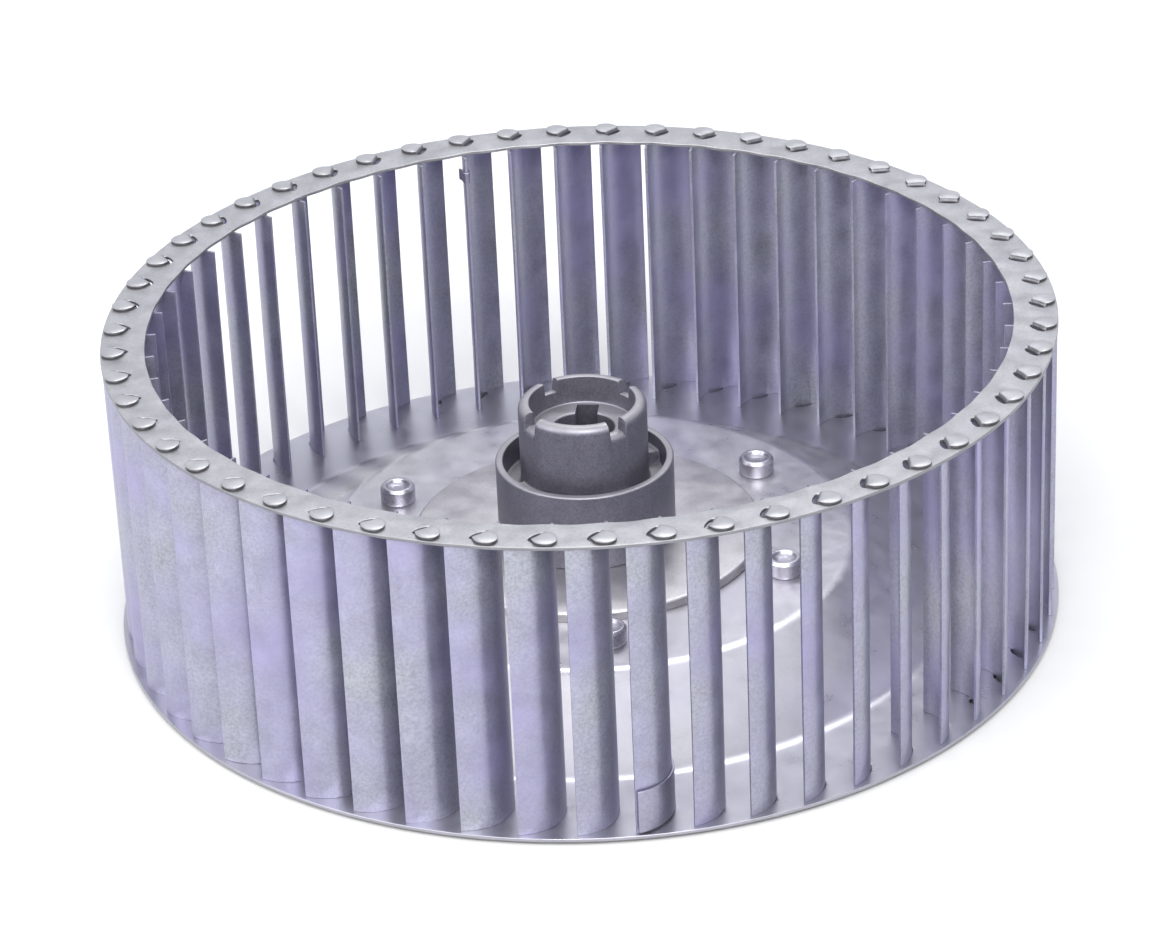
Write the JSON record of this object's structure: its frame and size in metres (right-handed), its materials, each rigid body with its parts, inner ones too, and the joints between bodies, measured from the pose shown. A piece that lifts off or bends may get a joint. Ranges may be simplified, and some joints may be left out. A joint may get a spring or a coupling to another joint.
{
  "type": "blower motor wheel",
  "caption": "Forward-curved centrifugal blower wheel: sheet blades tabbed between an inlet ring and a dished back plate, with a riveted keyed hub.",
  "frame": {"origin": "on the wheel's axis, at the lowest level of the wheel, the underside of the blade tabs below the back plate", "axes": "+Z along the wheel's axis, from the back plate towards the inlet ring; +X and +Y across the wheel"},
  "size_m": [0.2118, 0.2118, 0.0707],
  "materials": {
    "ring_steel": "satin galvanised sheet",
    "blade_steel": "satin galvanised sheet, fine speckle",
    "plate_steel": "smooth galvanised sheet",
    "flange_steel": "bright zinc plate",
    "hub_iron": "dark sintered, fine grain",
    "clip_steel": "satin zinc plate"
  },
  "bodies": {
    "root": {"inlet_ring": "ring_steel", "back_plate": "plate_steel", "hub_flange": "flange_steel", "hub": "hub_iron", "balance_clip_lower": "clip_steel", "balance_clip_upper": "clip_steel", "blade_01": "blade_steel", "blade_02": "blade_steel", "blade_03": "blade_steel", "blade_04": "blade_steel", "blade_05": "blade_steel", "blade_06": "blade_steel", "blade_07": "blade_steel", "blade_08": "blade_steel", "blade_09": "blade_steel", "blade_10": "blade_steel", "blade_11": "blade_steel", "blade_12": "blade_steel", "blade_13": "blade_steel", "blade_14": "blade_steel", "blade_15": "blade_steel", "blade_16": "blade_steel", "blade_17": "blade_steel", "blade_18": "blade_steel", "blade_19": "blade_steel", "blade_20": "blade_steel", "blade_21": "blade_steel", "blade_22": "blade_steel", "blade_23": "blade_steel", "blade_24": "blade_steel", "blade_25": "blade_steel", "blade_26": "blade_steel", "blade_27": "blade_steel", "blade_28": "blade_steel", "blade_29": "blade_steel", "blade_30": "blade_steel", "blade_31": "blade_steel", "blade_32": "blade_steel", "blade_33": "blade_steel", "blade_34": "blade_steel", "blade_35": "blade_steel", "blade_36": "blade_steel", "blade_37": "blade_steel", "blade_38": "blade_steel", "blade_39": "blade_steel", "blade_40": "blade_steel", "blade_41": "blade_steel", "blade_42": "blade_steel", "blade_43": "blade_steel", "blade_44": "blade_steel", "blade_45": "blade_steel", "blade_46": "blade_steel", "blade_47": "blade_steel", "blade_48": "blade_steel", "blade_49": "blade_steel", "blade_50": "blade_steel", "blade_51": "blade_steel", "blade_52": "blade_steel", "blade_53": "blade_steel", "blade_54": "blade_steel"}
  },
  "joints": []
}
